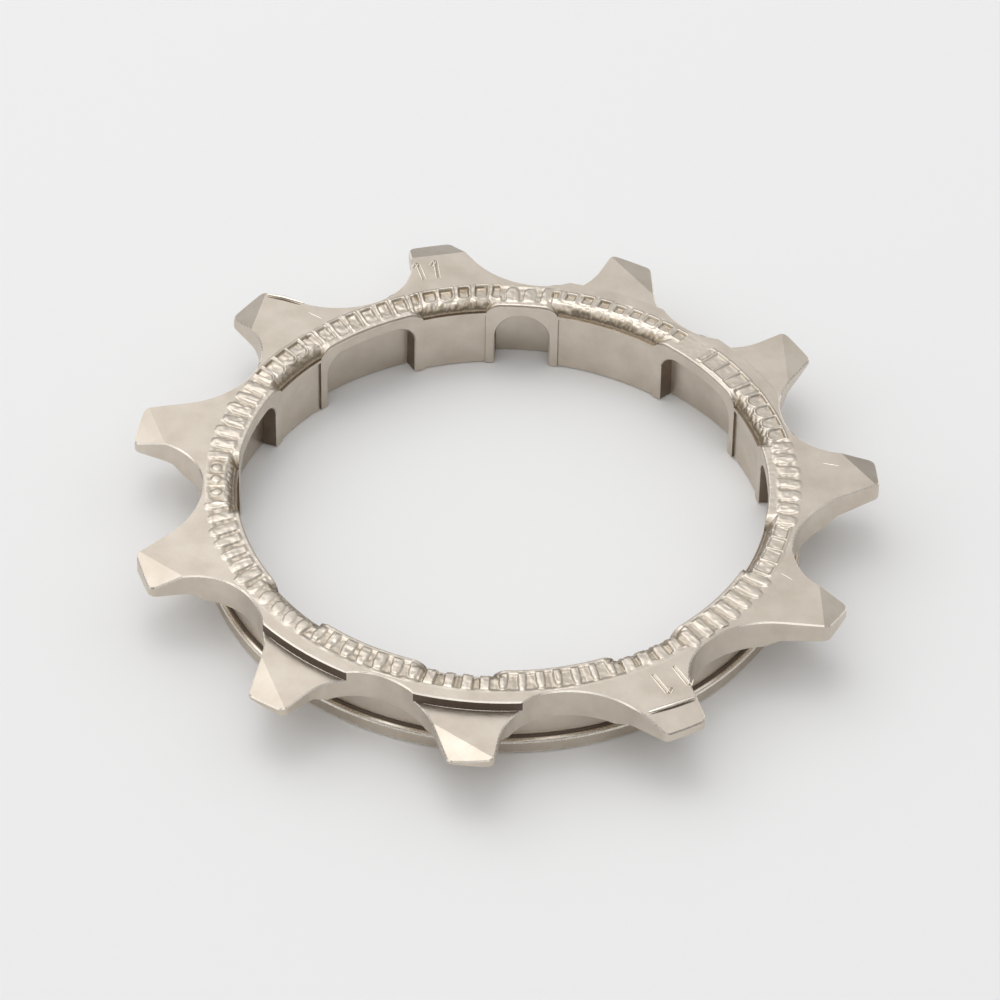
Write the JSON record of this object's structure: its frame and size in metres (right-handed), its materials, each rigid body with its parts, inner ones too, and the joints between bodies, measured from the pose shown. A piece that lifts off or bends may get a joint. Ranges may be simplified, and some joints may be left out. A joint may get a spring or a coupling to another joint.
{
  "type": "cassette cog",
  "caption": "Small bicycle cassette cog in nickel-plated steel, with leaning teeth, shift ramps, a splined bore, a serrated ring on top and a spacing collar below.",
  "frame": {"origin": "on the axis of the bore, at the seat of the collar", "axes": "+Z along the axis of the bore, from the collar to the serrated face; +Y through the first tooth; the slots for the splines open toward -Z"},
  "size_m": [0.0468, 0.0464, 0.005],
  "materials": {
    "cog": "satin nickel plate on forged steel"
  },
  "bodies": {
    "root": {"cog": "cog"}
  },
  "joints": []
}
